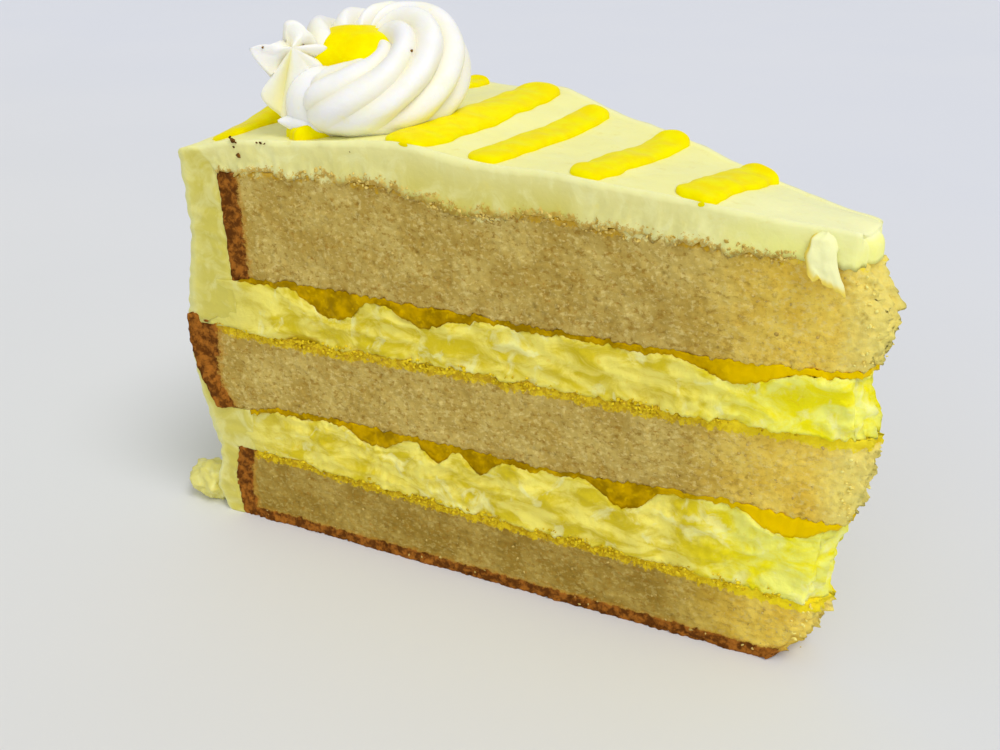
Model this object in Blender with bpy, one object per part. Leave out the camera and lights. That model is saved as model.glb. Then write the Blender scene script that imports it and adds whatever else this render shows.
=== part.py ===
"""One slice of a round, three-layer lemon cake, cut to its middle.

Three sponge layers carry two fillings, each a bed of lemon cream with lemon curd over it.
Cream icing covers the top and the outer wall, stripes of curd lie across it, and a piped
rosette with curd in its hollow stands near the wall. Units are metres, +Z is up, and the
slice's tip points along +X.
"""

import math

import bmesh
import bpy
from mathutils import Matrix, Vector, noise

MM = 0.001

# The cut
HALF_ANGLE = math.radians(15)
APEX_X = 71.7 * MM
GAP = 0.3 * MM
LAYER_RADIUS = 119.5 * MM
NEAR_TIP_SETBACK = 0.6 * MM
TIP_RAGGEDNESS = 0.7 * MM
TIP_RAG_HEIGHT = 3.5 * MM

# Outlines read on the near cut, in millimetres: distance from the cake's middle, height
BOTTOM_SPONGE_TOP = ((8, 12.9), (40, 13.8), (80, 14.4), (112, 15.9), (126, 15.8))
BOTTOM_SPONGE_FOOT = ((8, 2.9), (15, 2.4), (18, 0.7), (20.5, 0), (126, 0))
MIDDLE_SPONGE_BOTTOM = ((8, 28.1), (31, 28.7), (51, 27.1), (90, 27), (112, 26.4),
                        (120, 24.5), (131, 23.7))
MIDDLE_SPONGE_TOP = ((8, 43.4), (40, 42.4), (84, 41.9), (117, 41.2), (131, 43.3))
TOP_SPONGE_BOTTOM = ((8, 54.2), (28, 52.7), (90, 52.4), (108, 52.6), (120, 51.1))
TOP_SPONGE_TOP = ((8, 69.6), (50, 70.4), (60, 71), (71, 69.8), (85, 72.4), (97, 72.6),
                  (112, 71.7), (120, 71))
ICING_TOP = ((8, 73.2), (14, 74.1), (20, 74.3), (50, 76.9), (70, 77.7), (84, 79.3), (100, 77.7),
             (117, 76.4), (128, 73.3))

# Upright outlines, in millimetres: height, distance from the cake's middle
TIP_EDGE = ((0, 16), (5, 13.6), (10, 12.4), (20, 11.2), (25, 10), (30, 8.6), (38, 7.9), (44, 8), (50, 9.8),
            (57, 8), (62, 8.2), (68, 10.4), (73, 11.8), (80, 12.8))
ICING_WALL = ((0, 127.9), (5, 130.5), (13, 128.3), (33, 131.5), (42, 130.4), (46, 131.1), (55, 128.2),
              (66, 127), (74, 127.2))
MIDDLE_CRUST_NEAR = ((24, 124.6), (30, 127.4), (37, 129.4), (43, 129))
MIDDLE_CRUST_FAR = ((24, 122.6), (30, 123.6), (37, 124.2), (43, 123.8))
BOTTOM_CRUST = ((0, 124.6), (8, 125.2), (16, 123.6))

# Rings of curd pressed into the cream, in millimetres: distance, half width, depth
UPPER_RINGS = ((98.4, 9, 4.6), (80, 8, 2.8), (28, 9, 2.5))
LOWER_RINGS = ((92, 7, 3), (79, 4.5, 3), (70.5, 4.5, 3), (44.5, 7, 4), (18.5, 8, 2.8))
RING_DRIFT = 3 * MM
CURD_THICKNESS = 0.8 * MM
LAYER_SWAY = 0.5 * MM
SWAY_LENGTH = 13 * MM
CREAM_BULGE = 0.5 * MM
SPONGE_CRUMB = 0.2 * MM
RELIEF_GRAIN = 5 * MM

# Icing corner and wall
ICING_TIP_HEIGHT = 74 * MM
ICING_OVERHANG = 3 * MM
CORNER_OUTER = ((125.6, 74.6), (127.3, 72.8), (127, 62))
CORNER_INNER_DROPS = (0, 2, 10)
LEDGE_SPREAD = 1.2 * MM
WALL_SMEAR = 0.5 * MM
WALL_SMEAR_HEIGHT = 9 * MM

# Stripes of curd: near end and far end on the icing, full width and the height that shows
STRIPES = (
    ((-45.5, -25.4), (-52.8, -7.5), 6.6),
    ((-30.2, -24.6), (-33.4, -21.6), 6.2),
    ((-34, 18), (-35.2, 27), 6),
    ((-8.9, -20.6), (-11.8, 19.6), 7.4),
    ((4, -16.4), (2.6, 16.2), 5.2),
    ((20.2, -12.6), (20.2, 13.2), 5.2),
    ((36.2, -8.6), (37.7, 9.4), 6),
)
STRIPE_HEIGHT = 1.5 * MM
STRIPE_DEPTH = 1.6 * MM
STRIPE_END_FATNESS = 0.03

# Flake at the near edge of the tip, and the dab of icing at the foot of the wall
FLAKE_TURN = math.radians(14.6)
FLAKE_LENGTH = 9.5 * MM
FLAKE_WIDTH = 5 * MM
FLAKE_CURL = 1.4 * MM
FLAKE_LEAN = 1.1 * MM
FLAKE_THICKNESS = (1.6 * MM, 0.7 * MM)
FLAKE_ROOT = 1.2 * MM
FLAKE_STAND_OFF = 0.35 * MM
FLAKE_PLACE = (17 * MM, 75.8 * MM)
DAB_PLACE = Vector((-59.2, -31.2, 3.6)) * MM
DAB_SIZE = Vector((5.8, 3.9, 3.8)) * MM
DAB_BUMPS = 0.16

# Rosette
ROSETTE_CENTRE = Vector((-25.5, -11, 0)) * MM
ROPE_START = math.radians(-106)
ROPE_TURN = math.radians(344)
ROPE_RIDGES = 7
ROPE_TWIST = math.radians(450)
GROOVE_DEPTH = 0.22
# Rope outlines, in millimetres: hundredths of its run, then height, half width or centre's distance
ROPE_HEIGHT = ((0, 8.5), (18, 10.8), (30, 15), (44, 17.9), (57, 18), (70, 17.2), (88, 16.2), (100, 15.4))
ROPE_HALF_WIDTH = ((0, 6.4), (18, 7.2), (44, 8.6), (70, 8.1), (100, 7.4))
ROPE_CENTRE = ((0, 7.6), (18, 7.8), (44, 8.6), (70, 8.3), (86, 8.5), (100, 10.2))
ROPE_FLATNESS = 0.54
ROPE_START_SIZE = 0.45
ROPE_START_RUN = 0.07
TAIL_START = 0.86
TAIL_LEAN = 1.2 * MM
# Rings that close the rope's tail, pinched up and outwards: size, forward, then share of the pinch
TAIL_CLOSING = ((0.5, 2, 0.4), (0.07, 2.4, 1))
TAIL_PINCH = (2 * MM, 4 * MM)

# Curd in the rosette's hollow
DOLLOP_PLACE = Vector((-26.8, -12.5, 90)) * MM
DOLLOP_SIZE = Vector((7, 6, 3.4)) * MM
DOLLOP_TURN = math.radians(41)
DOLLOP_TILT = math.radians(24)

# Mesh cells, and the angle past which an edge is drawn sharp
SHARP_ANGLE = math.radians(40)
RUN_CELLS = 32
SIDE_CELLS = 6
SPONGE_CELLS = 3
STRIPE_RINGS = 8
STRIPE_SIDES = 8
FLAKE_CELLS = (5, 3, 1)
DAB_CELLS = (12, 8)
DOLLOP_CELLS = (18, 10)
ROPE_RINGS = 42
ROPE_SIDES = 35


def clear_scene():
    for item in list(bpy.data.objects):
        bpy.data.objects.remove(item, do_unlink=True)


def make_material(name, colour, roughness):
    material = bpy.data.materials.new(name)
    material.use_nodes = True
    shader = material.node_tree.nodes["Principled BSDF"]
    shader.inputs["Base Color"].default_value = (*colour, 1)
    shader.inputs["Roughness"].default_value = roughness
    shader.inputs["Metallic"].default_value = 0
    return material


def follow(outline, place):
    """The smooth line through an outline's points, read at one place."""
    x = min(max(place / MM, outline[0][0]), outline[-1][0])
    left = max(i for i in range(len(outline) - 1) if x >= outline[i][0])

    def slope(i):
        before = outline[max(i - 1, 0)]
        after = outline[min(i + 1, len(outline) - 1)]
        return (after[1] - before[1]) / (after[0] - before[0])

    (x0, y0), (x1, y1) = outline[left], outline[left + 1]
    span = x1 - x0
    t = (x - x0) / span
    curve = y0 * (1 + 2 * t) * (1 - t) ** 2 + y1 * t * t * (3 - 2 * t)
    curve += span * (slope(left) * t * (1 - t) ** 2 + slope(left + 1) * t * t * (t - 1))
    return curve * MM


def spot(distance, side, height, proud=0):
    """A point of the slice: side runs from -1 at the near cut to 1 at the far cut."""
    angle = side * HALF_ANGLE
    outward = Vector((math.sin(angle), math.cos(angle), 0)) * side * proud
    return Vector((APEX_X - distance * math.cos(angle), distance * math.sin(angle), height)) + outward


def polar(x, y):
    """The distance from the cake's middle and the side, from -1 to 1, of a point."""
    return math.hypot(APEX_X - x, y), math.atan2(y, APEX_X - x) / HALF_ANGLE


def level(outline, distance, side):
    """The height of a layer's face, which sways a little away from the near cut."""
    sway = LAYER_SWAY * (1 + side) / 2 * math.sin(distance / SWAY_LENGTH + 2 * side)
    return follow(outline, distance) + sway


def station(row, side, height):
    """The distance of a mesh row from the cake's middle, counted from the ragged tip."""
    rag = noise.noise(Vector((side * 2, height / TIP_RAG_HEIGHT, 0)))
    tip = follow(TIP_EDGE, height) + NEAR_TIP_SETBACK * (1 - side) / 2 + TIP_RAGGEDNESS * rag
    return tip + (LAYER_RADIUS - tip) * row / RUN_CELLS


def cream_top(ceiling, rings, distance, side):
    """The top of a cream layer: just under its thin curd, and lower where a ring presses in."""
    height = level(ceiling, distance, side) - 2 * GAP - CURD_THICKNESS
    for number, (place, half_width, depth) in enumerate(rings):
        drift = RING_DRIFT * (1 + side) / 2 * math.cos(2 * number)
        away = (distance - place * MM - drift) / (half_width * MM)
        if abs(away) < 1:
            height -= depth * MM * (1 - away * away) ** 2
    return height


def middle_crust(height, side):
    near = follow(MIDDLE_CRUST_NEAR, height)
    far = follow(MIDDLE_CRUST_FAR, height)
    return far + (near - far) * ((1 - side) / 2) ** 2


def bottom_crust(height, _side):
    return follow(BOTTOM_CRUST, height)


def face(outline, offset=0):
    """A layer's face as a function of the place."""
    return lambda distance, side: level(outline, distance, side) + offset


def pressed(ceiling, rings, offset=0):
    """A cream layer's top as a function of the place."""
    return lambda distance, side: cream_top(ceiling, rings, distance, side) + offset


def foot(distance, _side):
    """The bottom layer's underside, which curls up a little at the tip."""
    return max(follow(BOTTOM_SPONGE_FOOT, distance), 0)


def add_object(name, mesh, material):
    """Turn a bmesh into a named object of the slice."""
    bmesh.ops.recalc_face_normals(mesh, faces=mesh.faces)
    data = bpy.data.meshes.new(name)
    mesh.to_mesh(data)
    mesh.free()
    data.shade_smooth()
    data.set_sharp_from_angle(angle=SHARP_ANGLE)
    data.materials.append(material)
    item = bpy.data.objects.new(name, data)
    slice_collection.objects.link(item)
    return item


def block(name, cells, place, material):
    """A cube cut into cells, whose corners place() sets by their three counts."""
    mesh = bmesh.new()
    bmesh.ops.create_cube(mesh, size=1)
    for axis in range(3):
        long_edges = [e for e in mesh.edges if abs(e.verts[0].co[axis] - e.verts[1].co[axis]) > 0.99]
        if cells[axis] > 1:
            bmesh.ops.subdivide_edges(mesh, edges=long_edges, cuts=cells[axis] - 1, use_grid_fill=True)
    for vertex in mesh.verts:
        counts = [round((vertex.co[axis] + 0.5) * cells[axis]) for axis in range(3)]
        vertex.co = place(*counts)
    bmesh.ops.triangulate(mesh, faces=mesh.faces, quad_method="SHORT_EDGE")
    return add_object(name, mesh, material)


def rope(name, rings, sides, place, material):
    """A closed tube whose corners place() sets by ring and by turn about the tube."""
    mesh = bmesh.new()
    bmesh.ops.create_cone(mesh, cap_ends=True, segments=sides, radius1=1, radius2=1, depth=1)
    upright = [e for e in mesh.edges if abs(e.verts[0].co.z - e.verts[1].co.z) > 0.99]
    bmesh.ops.subdivide_edges(mesh, edges=upright, cuts=rings - 1, use_grid_fill=True)
    for vertex in mesh.verts:
        ring = round((vertex.co.z + 0.5) * rings)
        vertex.co = place(ring, math.atan2(vertex.co.y, vertex.co.x))
    bmesh.ops.triangulate(mesh, faces=mesh.faces, quad_method="SHORT_EDGE")
    return add_object(name, mesh, material)


def cut_relief(side, distance, height, depth):
    """How far a torn cut face stands proud of the plane of the cut."""
    if abs(side) < 0.999:
        return 0
    grain = Vector((distance / RELIEF_GRAIN, side, height / RELIEF_GRAIN))
    return depth * (0.4 + noise.noise(grain))


def make_layer(name, floor, ceiling, up_cells, relief, material, crust=None):
    """A sponge, cream or curd layer between two faces, with a crust beyond its filling or none."""
    run_cells = RUN_CELLS + (1 if crust else 0)

    def place(row, across, up):
        side = 2 * across / SIDE_CELLS - 1
        share = up / up_cells
        inner_row = min(row, RUN_CELLS)
        guess = floor(LAYER_RADIUS, side) * (1 - share) + ceiling(LAYER_RADIUS, side) * share
        distance = station(inner_row, side, guess)
        if row > RUN_CELLS:
            distance = crust(guess, side)
        height = floor(distance, side) * (1 - share) + ceiling(distance, side) * share
        return spot(distance, side, height, cut_relief(side, distance, height, relief))

    return block(name, (run_cells, SIDE_CELLS, up_cells), place, material)


def shoulder_rows(top, bottom, crust, side):
    """Inner corners of the icing round a sponge layer that reaches out under it."""
    heights = [bottom(LAYER_RADIUS, side) + share * (top(LAYER_RADIUS, side) - bottom(LAYER_RADIUS, side))
               for share in (1, 2 / 3, 1 / 3, 0)]
    reach = [crust(height, side) for height in heights]
    rows = [(LAYER_RADIUS + GAP, top(LAYER_RADIUS, side) + GAP, LEDGE_SPREAD)]
    rows.append((reach[0] + GAP, top(reach[0], side) + GAP, -LEDGE_SPREAD))
    for number in (1, 2):
        share = 1 - number / 3
        height = bottom(reach[number], side) * (1 - share) + top(reach[number], side) * share
        rows.append((reach[number] + GAP, height, 0))
    return rows, reach[3]


def icing_wall_rows(side):
    """Inner corners of the icing wall from its top to the floor, each with its outer corner's lift."""
    inner = LAYER_RADIUS + GAP
    bottom_top, middle_top = face(BOTTOM_SPONGE_TOP), face(MIDDLE_SPONGE_TOP)
    middle_bottom = face(MIDDLE_SPONGE_BOTTOM)
    middle, middle_foot = shoulder_rows(middle_top, middle_bottom, middle_crust, side)
    middle.append((middle_foot + GAP, middle_bottom(middle_foot, side) - GAP, LEDGE_SPREAD))
    middle.append((inner, middle_bottom(LAYER_RADIUS, side) - GAP, -LEDGE_SPREAD))
    bottom, bottom_foot = shoulder_rows(bottom_top, foot, bottom_crust, side)
    bottom.append((bottom_foot + GAP, 0, 0))
    return middle + bottom


def make_icing(material):
    """Icing over the top layer and down the outer wall, in one bent sheet."""
    wall_cells = len(CORNER_OUTER) + len(icing_wall_rows(0))

    def top_place(row, side, outer):
        distance = station(row, side, ICING_TIP_HEIGHT)
        if outer:
            distance += ICING_OVERHANG * (row / RUN_CELLS) ** 6
            return spot(distance, side, level(ICING_TOP, distance, side))
        return spot(distance, side, level(TOP_SPONGE_TOP, distance, side) + GAP)

    def corner_place(row, side, outer):
        if outer:
            distance, height = CORNER_OUTER[row]
            return spot(distance * MM, side, height * MM)
        top = level(TOP_SPONGE_TOP, LAYER_RADIUS, side) + GAP
        return spot(LAYER_RADIUS + GAP, side, top - CORNER_INNER_DROPS[row] * MM)

    def wall_place(row, side, outer):
        distance, height, lift = icing_wall_rows(side)[row]
        if outer:
            height += lift
            smear = noise.noise(Vector((side * 3, height / WALL_SMEAR_HEIGHT, 4)))
            distance = follow(ICING_WALL, height) + WALL_SMEAR * smear
        return spot(distance, side, height)

    def place(row, across, outer):
        side = 2 * across / SIDE_CELLS - 1
        if row <= RUN_CELLS:
            return top_place(row, side, outer)
        row -= RUN_CELLS + 1
        if row < len(CORNER_OUTER):
            return corner_place(row, side, outer)
        return wall_place(row - len(CORNER_OUTER), side, outer)

    return block("icing", (RUN_CELLS + wall_cells, SIDE_CELLS, 1), place, material)


def icing_height(x, y):
    distance, side = polar(x, y)
    return level(ICING_TOP, distance, side)


def make_stripe(name, near, far, width, material, grow=0):
    """A rounded strip of curd that lies on the icing, sunk into it by half."""
    start = Vector((*near, 0)) * MM
    run = Vector((*far, 0)) * MM - start
    across = Vector((run.y, -run.x, 0)).normalized()

    def place(ring, turn):
        along = 0.5 - 0.5 * math.cos(math.pi * ring / STRIPE_RINGS)
        fat = max(1 - abs(2 * along - 1) ** 6, STRIPE_END_FATNESS) ** 0.5
        point = start + run * along + across * ((width / 2 * MM + grow) * fat * math.cos(turn))
        point += run.normalized() * grow * (2 * along - 1)
        point.z = icing_height(point.x, point.y)
        rise = STRIPE_HEIGHT if math.sin(turn) > 0 else STRIPE_DEPTH
        point.z += (rise + grow) * fat * math.sin(turn)
        return point

    return rope(name, STRIPE_RINGS, STRIPE_SIDES, place, material)


def make_flake(material):
    """A curl of icing that the knife lifted at the near edge of the tip."""

    def place(row, across, outer):
        down = row / FLAKE_CELLS[0]
        along = across / FLAKE_CELLS[1] - 0.5
        distance = FLAKE_PLACE[0] + along * FLAKE_WIDTH * (1 - 0.5 * down * down) - FLAKE_ROOT * down
        height = FLAKE_PLACE[1] - down * FLAKE_LENGTH
        proud = FLAKE_STAND_OFF + FLAKE_CURL * math.sin(math.pi * down) + FLAKE_LEAN * down
        thick, thin = FLAKE_THICKNESS
        if outer:
            proud += thick + (thin - thick) * down
        elif down < 0.3:
            proud -= FLAKE_ROOT
        corner = Vector((APEX_X - distance * math.cos(FLAKE_TURN), -distance * math.sin(FLAKE_TURN), height))
        return corner + Vector((-math.sin(FLAKE_TURN), -math.cos(FLAKE_TURN), 0)) * proud

    return block("flake", FLAKE_CELLS, place, material)


def make_dab(material):
    """A small dab of icing at the foot of the wall."""
    mesh = bmesh.new()
    bmesh.ops.create_uvsphere(mesh, u_segments=DAB_CELLS[0], v_segments=DAB_CELLS[1], radius=1)
    for vertex in mesh.verts:
        bump = 1 + DAB_BUMPS * noise.noise(vertex.co * 2.2)
        vertex.co = DAB_PLACE + Vector(bump * a * b for a, b in zip(vertex.co, DAB_SIZE))
        vertex.co.z = max(vertex.co.z, 0)
    bmesh.ops.triangulate(mesh, faces=mesh.faces, quad_method="SHORT_EDGE")
    return add_object("dab", mesh, material)


def combine(item, tools, operation):
    """Join the tools to an object, or cut them from it, with one applied Boolean."""
    group = bpy.data.collections.new(item.name + "_tools")
    for tool in tools:
        slice_collection.objects.unlink(tool)
        group.objects.link(tool)
    modifier = item.modifiers.new("combine", "BOOLEAN")
    modifier.operand_type = "COLLECTION"
    modifier.collection = group
    modifier.operation = operation
    modifier.solver = "EXACT"
    bpy.context.view_layer.update()
    graph = bpy.context.evaluated_depsgraph_get()
    result = bpy.data.meshes.new_from_object(item.evaluated_get(graph))
    item.modifiers.clear()
    item.data = result
    for tool in tools:
        bpy.data.objects.remove(tool, do_unlink=True)
    bpy.data.collections.remove(group)


def rope_place(ring, turn):
    """A corner of the rosette's star-shaped rope, which climbs as it goes once round."""
    mouth = ROPE_RINGS - len(TAIL_CLOSING)
    run = min(ring, mouth) / mouth
    angle = ROPE_START + ROPE_TURN * run
    tail = max(run - TAIL_START, 0) / (1 - TAIL_START)
    height, half_width, centre = (follow(line, 100 * MM * run)
                                  for line in (ROPE_HEIGHT, ROPE_HALF_WIDTH, ROPE_CENTRE))
    aim = turn + ROPE_TWIST * run
    clear_of_foot = min(max((math.sin(aim) + 0.8) / 0.5, 0), 1)
    groove = GROOVE_DEPTH * (1 + 0.5 * tail) * clear_of_foot
    size = 1 - groove * (1 - abs(math.cos(ROPE_RIDGES * turn / 2)))
    size *= min(1, ROPE_START_SIZE + (1 - ROPE_START_SIZE) * (run / ROPE_START_RUN) ** 0.5)
    forward, pinch = TAIL_LEAN * tail, 0
    if ring > mouth:
        closing, lean, pinch = TAIL_CLOSING[ring - mouth - 1]
        size *= closing
        forward = lean * MM
    outward = half_width * size * math.cos(aim) + TAIL_PINCH[0] * pinch
    upward = ROPE_FLATNESS * height * size * math.sin(aim) + TAIL_PINCH[1] * pinch
    point = ROSETTE_CENTRE + Vector((math.cos(angle), math.sin(angle), 0)) * (centre + outward)
    point += Vector((-math.sin(angle), math.cos(angle), 0)) * forward
    base = icing_height(point.x, point.y) + GAP
    low = icing_height(ROSETTE_CENTRE.x, ROSETTE_CENTRE.y) + GAP
    point.z = max(low + 0.5 * height + upward, base)
    return point


def make_ball(name, grow, material):
    """The curd in the rosette's hollow, or a slightly larger one to cut its seat."""
    mesh = bmesh.new()
    bmesh.ops.create_uvsphere(mesh, u_segments=DOLLOP_CELLS[0], v_segments=DOLLOP_CELLS[1], radius=1)
    turned = Matrix.Rotation(DOLLOP_TURN, 3, "Z") @ Matrix.Rotation(DOLLOP_TILT, 3, "X")
    size = DOLLOP_SIZE + Vector((grow, grow, grow))
    for vertex in mesh.verts:
        around = math.atan2(vertex.co.y, vertex.co.x)
        lobes = 1 + 0.12 * math.cos(2 * around) + 0.05 * math.cos(5 * around + 1)
        stretched = Vector((vertex.co.x * lobes * size.x, vertex.co.y * lobes * size.y, vertex.co.z * size.z))
        vertex.co = DOLLOP_PLACE + turned @ stretched
    bmesh.ops.triangulate(mesh, faces=mesh.faces, quad_method="SHORT_EDGE")
    return add_object(name, mesh, material)


clear_scene()
slice_collection = bpy.data.collections.new("limoncello_cake_slice")
bpy.context.scene.collection.children.link(slice_collection)

sponge = make_material("sponge", (0.62, 0.43, 0.17), 0.85)
cream = make_material("lemon_cream", (0.86, 0.78, 0.28), 0.6)
curd = make_material("lemon_curd", (0.75, 0.5, 0.02), 0.25)
icing_finish = make_material("icing", (0.87, 0.85, 0.5), 0.45)
white_cream = make_material("white_cream", (0.88, 0.87, 0.8), 0.4)

make_layer("sponge_bottom", foot, face(BOTTOM_SPONGE_TOP), SPONGE_CELLS, SPONGE_CRUMB, sponge,
           bottom_crust)
make_layer("cream_lower", face(BOTTOM_SPONGE_TOP, GAP), pressed(MIDDLE_SPONGE_BOTTOM, LOWER_RINGS),
           2, CREAM_BULGE, cream)
make_layer("curd_lower", pressed(MIDDLE_SPONGE_BOTTOM, LOWER_RINGS, GAP), face(MIDDLE_SPONGE_BOTTOM, -GAP),
           1, 0, curd)
make_layer("sponge_middle", face(MIDDLE_SPONGE_BOTTOM), face(MIDDLE_SPONGE_TOP),
           SPONGE_CELLS, SPONGE_CRUMB, sponge, middle_crust)
make_layer("cream_upper", face(MIDDLE_SPONGE_TOP, GAP), pressed(TOP_SPONGE_BOTTOM, UPPER_RINGS),
           2, CREAM_BULGE, cream)
make_layer("curd_upper", pressed(TOP_SPONGE_BOTTOM, UPPER_RINGS, GAP), face(TOP_SPONGE_BOTTOM, -GAP),
           1, 0, curd)
make_layer("sponge_top", face(TOP_SPONGE_BOTTOM), face(TOP_SPONGE_TOP), SPONGE_CELLS, SPONGE_CRUMB,
           sponge)

icing = make_icing(icing_finish)
toppings = [make_stripe("stripe", near, far, width, curd) for near, far, width in STRIPES]
toppings.append(make_flake(icing_finish))
toppings.append(make_dab(icing_finish))
combine(icing, toppings, "UNION")

rosette = rope("rosette", ROPE_RINGS, ROPE_SIDES, rope_place, white_cream)
seats = [make_stripe("seat", *stripe, white_cream, 1.2 * GAP) for stripe in STRIPES[:4]]
seats.append(make_ball("seat", GAP, white_cream))
combine(rosette, seats, "DIFFERENCE")
make_ball("curd_dollop", 0, curd)
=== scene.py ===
"""The looks of the slice of lemon layer cake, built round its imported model."""

import math
import random

import bmesh
import bpy
import numpy as np
from mathutils import Matrix, Vector, noise


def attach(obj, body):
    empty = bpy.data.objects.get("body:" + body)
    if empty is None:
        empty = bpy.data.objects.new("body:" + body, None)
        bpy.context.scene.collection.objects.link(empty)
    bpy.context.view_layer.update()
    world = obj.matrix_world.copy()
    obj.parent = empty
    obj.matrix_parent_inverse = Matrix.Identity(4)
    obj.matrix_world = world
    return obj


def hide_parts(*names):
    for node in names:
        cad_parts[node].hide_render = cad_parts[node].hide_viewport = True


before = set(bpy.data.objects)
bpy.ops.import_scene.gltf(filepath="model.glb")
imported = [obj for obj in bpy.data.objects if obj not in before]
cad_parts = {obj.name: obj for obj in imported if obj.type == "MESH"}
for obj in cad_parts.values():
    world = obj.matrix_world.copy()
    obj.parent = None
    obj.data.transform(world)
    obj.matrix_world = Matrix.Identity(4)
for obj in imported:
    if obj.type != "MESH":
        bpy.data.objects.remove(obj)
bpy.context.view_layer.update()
random.seed(7)
noise.seed_set(7)

MM = 0.001

# The cut
HALF_ANGLE = math.radians(15)
APEX_X = 71.7 * MM
LAYER_RADIUS = 119.5 * MM
NEAR_TIP_SETBACK = 0.6 * MM
TIP_RAGGEDNESS = 0.7 * MM

# Outlines read on the near cut, in millimetres: distance from the cake's middle, height
BOTTOM_SPONGE_TOP = ((8, 12.9), (40, 13.8), (80, 14.4), (112, 15.9), (126, 15.8))
BOTTOM_SPONGE_FOOT = ((8, 2.9), (15, 2.4), (18, 0.7), (20.5, 0), (126, 0))
MIDDLE_SPONGE_BOTTOM = ((8, 28.1), (31, 28.7), (51, 27.1), (90, 27), (112, 26.4), (120, 24.5),
                        (131, 23.7))
MIDDLE_SPONGE_TOP = ((8, 43.4), (40, 42.4), (84, 41.9), (117, 41.2), (131, 43.3))
TOP_SPONGE_BOTTOM = ((8, 54.2), (28, 52.7), (90, 52.4), (108, 52.6), (120, 51.1))
TOP_SPONGE_TOP = ((8, 69.6), (50, 70.4), (60, 71), (71, 69.8), (85, 72.4), (97, 72.6), (112, 71.7),
                  (120, 71))
ICING_TOP = ((8, 73.2), (14, 74.1), (20, 74.3), (50, 76.9), (70, 77.7), (84, 79.3), (100, 77.7),
             (117, 76.4), (128, 73.3))

# Upright outlines, in millimetres: height, distance from the cake's middle
TIP_EDGE = ((0, 16), (5, 13.6), (10, 12.4), (20, 11.2), (25, 10), (30, 8.6), (38, 7.9), (44, 8),
            (50, 9.8), (57, 8), (62, 8.2), (68, 10.4), (73, 11.8), (80, 12.8))
ICING_WALL = ((0, 127.9), (5, 130.5), (13, 128.3), (33, 131.5), (42, 130.4), (46, 131.1), (55, 128.2),
              (66, 127), (74, 127.2))
MIDDLE_CRUST_NEAR = ((24, 124.6), (30, 127.4), (37, 129.4), (43, 129))
MIDDLE_CRUST_FAR = ((24, 122.6), (30, 123.6), (37, 124.2), (43, 123.8))
MIDDLE_CRUST_BARE = ((24, 126), (27, 128.2), (33, 130.3), (40, 130.8), (43, 130.4))
BOTTOM_CRUST = ((0, 124.6), (8, 125.2), (16, 123.6))

# Rings of curd pressed into the cream, in millimetres: distance, half width, depth
UPPER_RINGS = ((98.4, 9, 4.6), (80, 8, 2.8), (28, 9, 2.5))
LOWER_RINGS = ((92, 7, 3), (79, 4.5, 3), (70.5, 4.5, 3), (44.5, 7, 4), (18.5, 8, 2.8))
RING_DRIFT = 3 * MM
CURD_THICKNESS = 1.0 * MM
LAYER_SWAY = 0.5 * MM

# Cells across a layer and along its crust, the rows that are torn or narrowed at its ends, and
# how far apart the relief of its two cuts is taken
LAYER_SIDE_CELLS = 10
CRUST_CELLS = 26
JAGGED_ROWS = 5
NARROWED_ROWS = 7
CREAM_END_ROWS = 16
CUTS_APART = 60 * MM
LAYER_SLOTS = {"sponge": "sponge", "cream": "lemon_cream", "curd": "lemon_curd"}

# Icing corner
ICING_OVERHANG = 3 * MM
CORNER_OUTER = ((125.6, 74.6), (127.3, 72.8), (127, 62))
LEDGE_SPREAD = 1.2 * MM
TOP_ROWS = 32
ICING_CELL = 0.42 * MM
ICING_TIP_HEIGHT = 74 * MM
ICING_TIP_FORWARD = 1.1 * MM

# Stripes of curd: near end and far end on the icing, and full width
STRIPES = (
    ((-45.6, -27.4), (-50, -7), 7.4),
    ((-26, -23.8), (-32, -20.6), 6.4),
    ((-34, 18), (-35.2, 27), 6),
    ((-8.7, -21.6), (-11.8, 19.6), 8.6),
    ((4.1, -17.6), (2.6, 16.2), 6),
    ((20.2, -13.4), (20.2, 13.2), 6),
    ((36.1, -9.2), (37.7, 9.4), 6.8),
)
STRIPE_HEIGHT = 1.2 * MM
STRIPE_DEPTH = 1.6 * MM

# Flake at the near edge of the tip, and the dab of icing at the foot of the wall
FLAKE_TURN = math.radians(14.6)
FLAKE_LENGTH = 9.5 * MM
FLAKE_WIDTH = 5 * MM
FLAKE_PLACE = (17 * MM, 75.8 * MM)
DAB_PLACE = np.array((-59.2, -31.2, 3.6)) * MM
DAB_SIZE = np.array((5.8, 3.9, 3.8)) * MM

# Rosette
ROSETTE_CENTRE = (-25.5 * MM, -11 * MM)
ROPE_START = math.radians(-106)
ROPE_TURN = math.radians(344)
ROPE_RIDGES = 7
ROPE_TWIST = math.radians(450)
ROPE_HEIGHT = ((0, 8.5), (18, 10.8), (30, 15), (44, 17.9), (57, 18), (70, 17.2), (88, 16.2), (100, 15.4))
ROPE_HALF_WIDTH = ((0, 6.4), (18, 7.2), (44, 8.6), (70, 8.1), (100, 7.4))
ROPE_CENTRE = ((0, 7.6), (18, 7.8), (44, 8.6), (70, 8.3), (86, 8.5), (100, 10.2))
TAIL_LEAN = 1.2 * MM
PIPING_TURN = math.radians(41.4)
LOBE_PLACE = np.array((-28.6, -21.6, 79.6)) * MM
LOBE_SIZE = np.array((5.6, 3.2, 2.5)) * MM
BODY_PLACE = np.array((-27.9, -19.1, 82.3)) * MM
BODY_SIZE = np.array((6.4, 5, 6.2)) * MM
DOLLOP_PLACE = np.array((-26.6, -12.2, 90.1)) * MM
DOLLOP_SIZE = np.array((7, 6, 3.4)) * MM
DOLLOP_TURN = math.radians(41)
DOLLOP_TILT = math.radians(24)

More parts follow.
